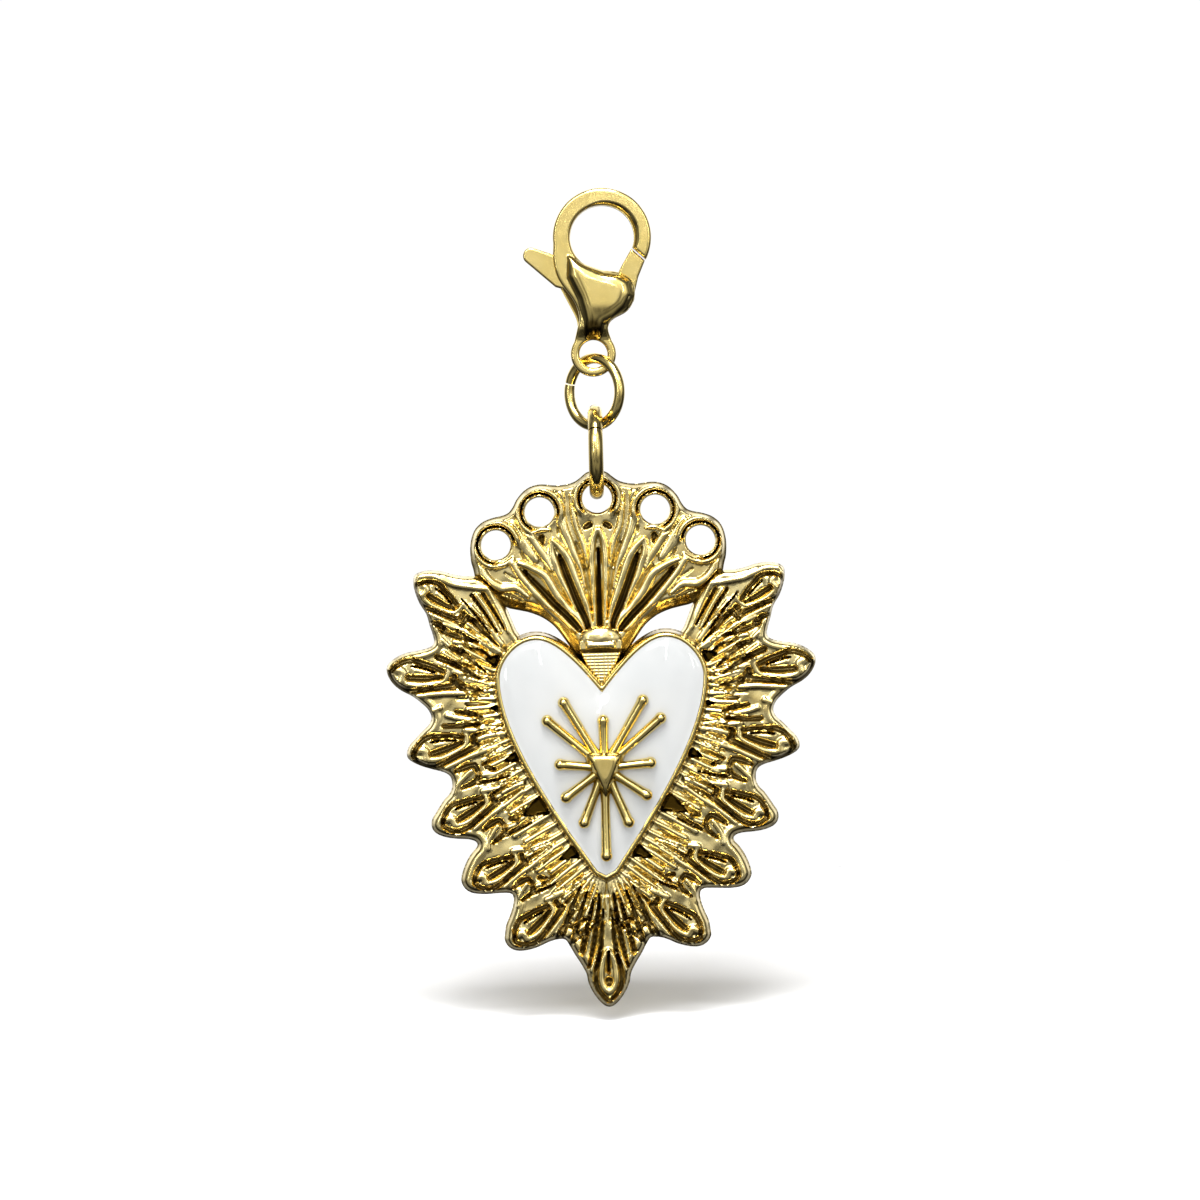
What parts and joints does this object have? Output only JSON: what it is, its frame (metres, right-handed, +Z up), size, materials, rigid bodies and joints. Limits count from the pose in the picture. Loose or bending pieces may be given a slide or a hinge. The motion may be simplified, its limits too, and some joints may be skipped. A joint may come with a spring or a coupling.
{
  "type": "flaming heart charm",
  "caption": "Gilt ex-voto heart pendant with a leafed burst, a flame crown, white enamel and a gold star, hung from two jump rings and a lobster claw clasp with a sprung gate.",
  "frame": {"origin": "the point inside the hook that bears the charm's weight, straight above the pendant's line of symmetry", "axes": "+Z up along the hanging charm, +X to the right seen from the front, and the front faces -Y"},
  "size_m": [0.0288, 0.0064, 0.0547],
  "materials": {
    "gold_polished": "polished gold plating, smooth and mirror-like with fine handling scratches",
    "gold_cast": "gold plating over cast relief, bright on the crests and dark in the grooves",
    "enamel_white": "glossy opaque white enamel, domed",
    "spring_steel": "bare spring steel strip"
  },
  "bodies": {
    "clasp": {"clasp_body": "gold_polished", "clasp_pivot_pin": "gold_cast", "clasp_spring": "spring_steel"},
    "trigger": {"clasp_trigger": "gold_polished"},
    "upper_link": {"upper_ring": "gold_polished"},
    "lower_link": {"lower_ring": "gold_polished"},
    "pendant": {"ray_frame": "gold_cast", "flame_crown": "gold_cast", "heart_cup": "gold_polished", "enamel_fill": "enamel_white", "star_relief": "gold_polished", "cleft_collar": "gold_cast"}
  },
  "joints": [
    {"name": "trigger_pivot", "type": "hinge", "parent": "clasp", "child": "trigger", "pos_m": [0.00226, 0, -0.00603], "axis": [0, -1, 0], "range_deg": [0, 38], "stiffness_Nm_per_rad": 0.004, "springref_deg": -20.05, "deforming": ["clasp_spring"]},
    {"name": "upper_ring_swing", "type": "hinge", "parent": "clasp", "child": "upper_link", "pos_m": [0, 0, -0.00975], "axis": [0, 1, 0], "range_deg": [-45, 45]},
    {"name": "lower_ring_swing", "type": "hinge", "parent": "upper_link", "child": "lower_link", "pos_m": [0, 0, -0.01451], "axis": [0.7431, -0.6691, 0], "range_deg": [-45, 45]},
    {"name": "pendant_swing", "type": "hinge", "parent": "lower_link", "child": "pendant", "pos_m": [0, 0, -0.01896], "axis": [0, 1, 0], "range_deg": [-40, 40]}
  ]
}
